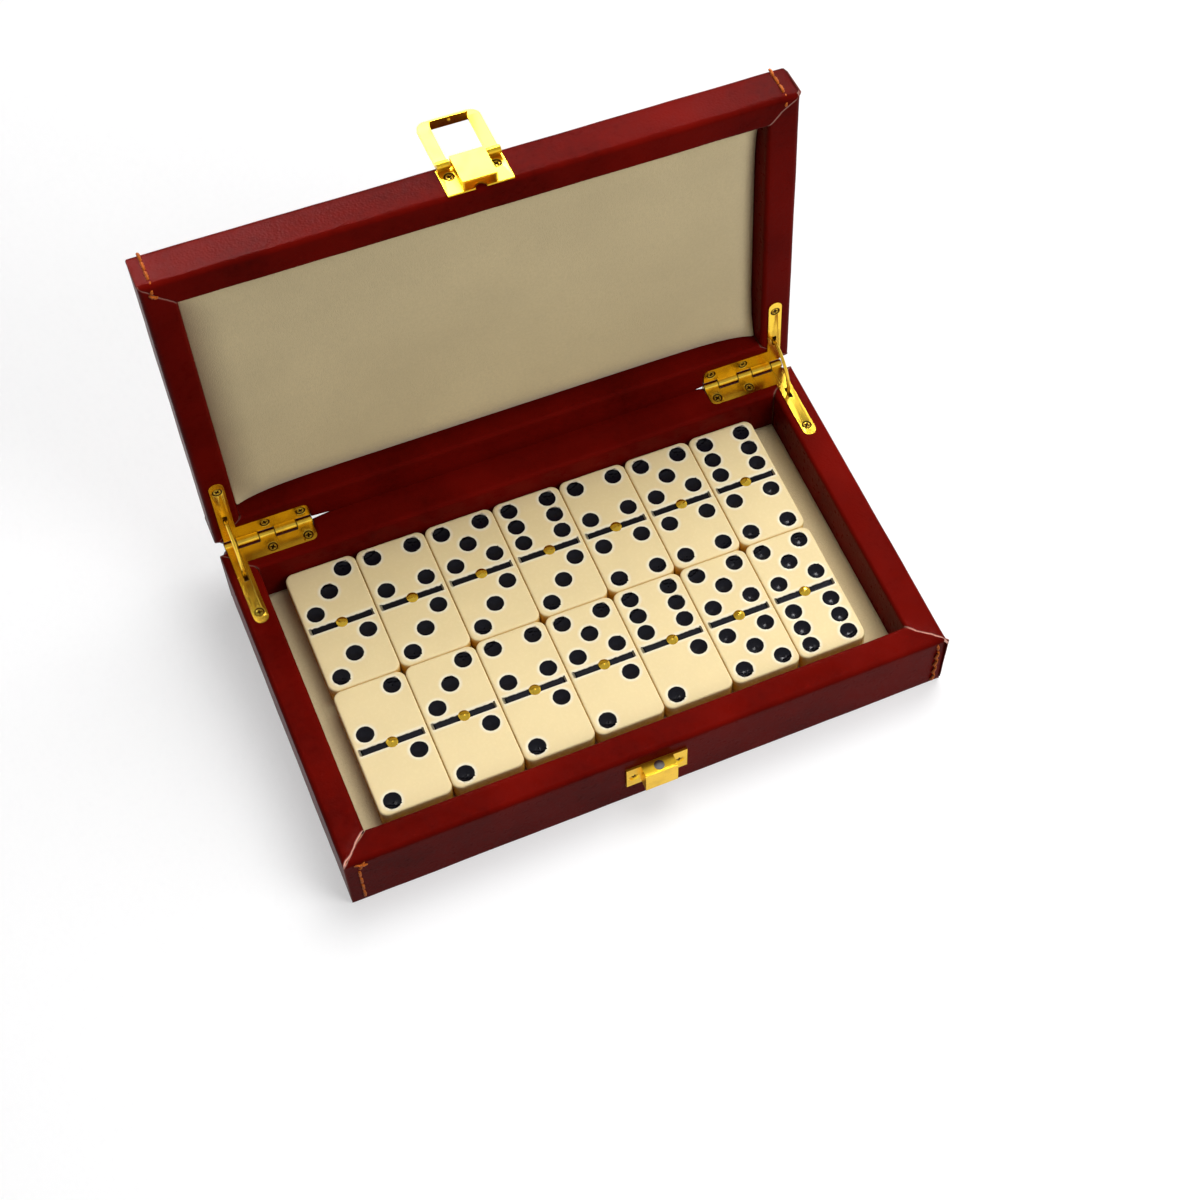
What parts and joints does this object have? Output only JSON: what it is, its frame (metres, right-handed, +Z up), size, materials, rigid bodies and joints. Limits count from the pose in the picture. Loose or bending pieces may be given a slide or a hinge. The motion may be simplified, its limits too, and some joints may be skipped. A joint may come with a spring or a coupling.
{
  "type": "domino storage box",
  "caption": "Slim leather-covered box with a padded lid on two quadrant hinges, a brass hasp and a row tray of domino tiles.",
  "frame": {"origin": "centre of the base's underside, on the surface the box stands on", "axes": "+X along the width to the right seen from the front, -Y to the front with the catch, +Z up"},
  "size_m": [0.204, 0.166, 0.1537],
  "materials": {
    "leather": "glossy smooth grain, dark red",
    "wood": "plain sawn, hidden",
    "card": "matt card",
    "cloth": "fine matt suede cloth",
    "brass": "polished",
    "steel": "worn",
    "thread": "waxed thread",
    "ivory": "polished resin with dark pips"
  },
  "bodies": {
    "base": {"base_frame": "wood", "base_bottom_board": "wood", "base_leather": "leather", "bottom_cover": "card", "tray_floor_card": "card", "tray_lining": "cloth", "left_base_leaf": "brass", "left_hinge_pin": "brass", "right_base_leaf": "brass", "right_hinge_pin": "brass", "base_hinge_screws": "brass", "catch_plate": "brass", "catch_stud": "steel", "catch_screws": "brass", "base_stitching": "thread"},
    "lid": {"lid_frame": "wood", "lid_panel": "wood", "lid_leather": "leather", "lid_lining_card": "card", "lid_lining_pad": "cloth", "left_lid_leaf": "brass", "right_lid_leaf": "brass", "lid_hinge_screws": "brass", "hasp_plate": "brass", "hasp_screws": "brass", "hasp_pin": "brass", "lid_stitching": "thread"},
    "loop": {"hasp_loop": "brass"},
    "stay_left": {"left_stay": "brass"},
    "stay_right": {"right_stay": "brass"},
    "tile_1": {"tile_1": "ivory", "tile_1_pin": "brass"},
    "tile_2": {"tile_2": "ivory", "tile_2_pin": "brass"},
    "tile_3": {"tile_3": "ivory", "tile_3_pin": "brass"},
    "tile_4": {"tile_4": "ivory", "tile_4_pin": "brass"},
    "tile_5": {"tile_5": "ivory", "tile_5_pin": "brass"},
    "tile_6": {"tile_6": "ivory", "tile_6_pin": "brass"},
    "tile_7": {"tile_7": "ivory", "tile_7_pin": "brass"},
    "tile_8": {"tile_8": "ivory", "tile_8_pin": "brass"},
    "tile_9": {"tile_9": "ivory", "tile_9_pin": "brass"},
    "tile_10": {"tile_10": "ivory", "tile_10_pin": "brass"},
    "tile_11": {"tile_11": "ivory", "tile_11_pin": "brass"},
    "tile_12": {"tile_12": "ivory", "tile_12_pin": "brass"},
    "tile_13": {"tile_13": "ivory", "tile_13_pin": "brass"},
    "tile_14": {"tile_14": "ivory", "tile_14_pin": "brass"}
  },
  "joints": [
    {"name": "hasp_loop_swing", "type": "hinge", "parent": "lid", "child": "loop", "pos_m": [0, 0.08047, 0.15153], "axis": [-1, 0, 0], "range_deg": [-173.4, 25]},
    {"name": "lid_swing", "type": "hinge", "parent": "base", "child": "lid", "pos_m": [0, 0.0624, 0.0265], "axis": [-1, 0, 0], "range_deg": [-93, 0]},
    {"name": "stay_left_slide", "type": "hinge", "parent": "base", "child": "stay_left", "pos_m": [-0.0969, 0.0624, 0.0265], "axis": [-1, 0, 0], "range_deg": [-46.5, 0]},
    {"name": "stay_right_slide", "type": "hinge", "parent": "base", "child": "stay_right", "pos_m": [0.0969, 0.0624, 0.0265], "axis": [-1, 0, 0], "range_deg": [-46.5, 0]},
    {"name": "tile_lift_01", "type": "slide", "parent": "base", "child": "tile_1", "axis": [0, 0, 1], "range_m": [0, 0.03]},
    {"name": "tile_lift_02", "type": "slide", "parent": "base", "child": "tile_2", "axis": [0, 0, 1], "range_m": [0, 0.03]},
    {"name": "tile_lift_03", "type": "slide", "parent": "base", "child": "tile_3", "axis": [0, 0, 1], "range_m": [0, 0.03]},
    {"name": "tile_lift_04", "type": "slide", "parent": "base", "child": "tile_4", "axis": [0, 0, 1], "range_m": [0, 0.03]},
    {"name": "tile_lift_05", "type": "slide", "parent": "base", "child": "tile_5", "axis": [0, 0, 1], "range_m": [0, 0.03]},
    {"name": "tile_lift_06", "type": "slide", "parent": "base", "child": "tile_6", "axis": [0, 0, 1], "range_m": [0, 0.03]},
    {"name": "tile_lift_07", "type": "slide", "parent": "base", "child": "tile_7", "axis": [0, 0, 1], "range_m": [0, 0.03]},
    {"name": "tile_lift_08", "type": "slide", "parent": "base", "child": "tile_8", "axis": [0, 0, 1], "range_m": [0, 0.03]},
    {"name": "tile_lift_09", "type": "slide", "parent": "base", "child": "tile_9", "axis": [0, 0, 1], "range_m": [0, 0.03]},
    {"name": "tile_lift_10", "type": "slide", "parent": "base", "child": "tile_10", "axis": [0, 0, 1], "range_m": [0, 0.03]},
    {"name": "tile_lift_11", "type": "slide", "parent": "base", "child": "tile_11", "axis": [0, 0, 1], "range_m": [0, 0.03]},
    {"name": "tile_lift_12", "type": "slide", "parent": "base", "child": "tile_12", "axis": [0, 0, 1], "range_m": [0, 0.03]},
    {"name": "tile_lift_13", "type": "slide", "parent": "base", "child": "tile_13", "axis": [0, 0, 1], "range_m": [0, 0.03]},
    {"name": "tile_lift_14", "type": "slide", "parent": "base", "child": "tile_14", "axis": [0, 0, 1], "range_m": [0, 0.03]}
  ],
  "couplings": [
    {"joint": "stay_left_slide", "follows": "lid_swing", "ratio": 0.5},
    {"joint": "stay_right_slide", "follows": "lid_swing", "ratio": 0.5}
  ]
}
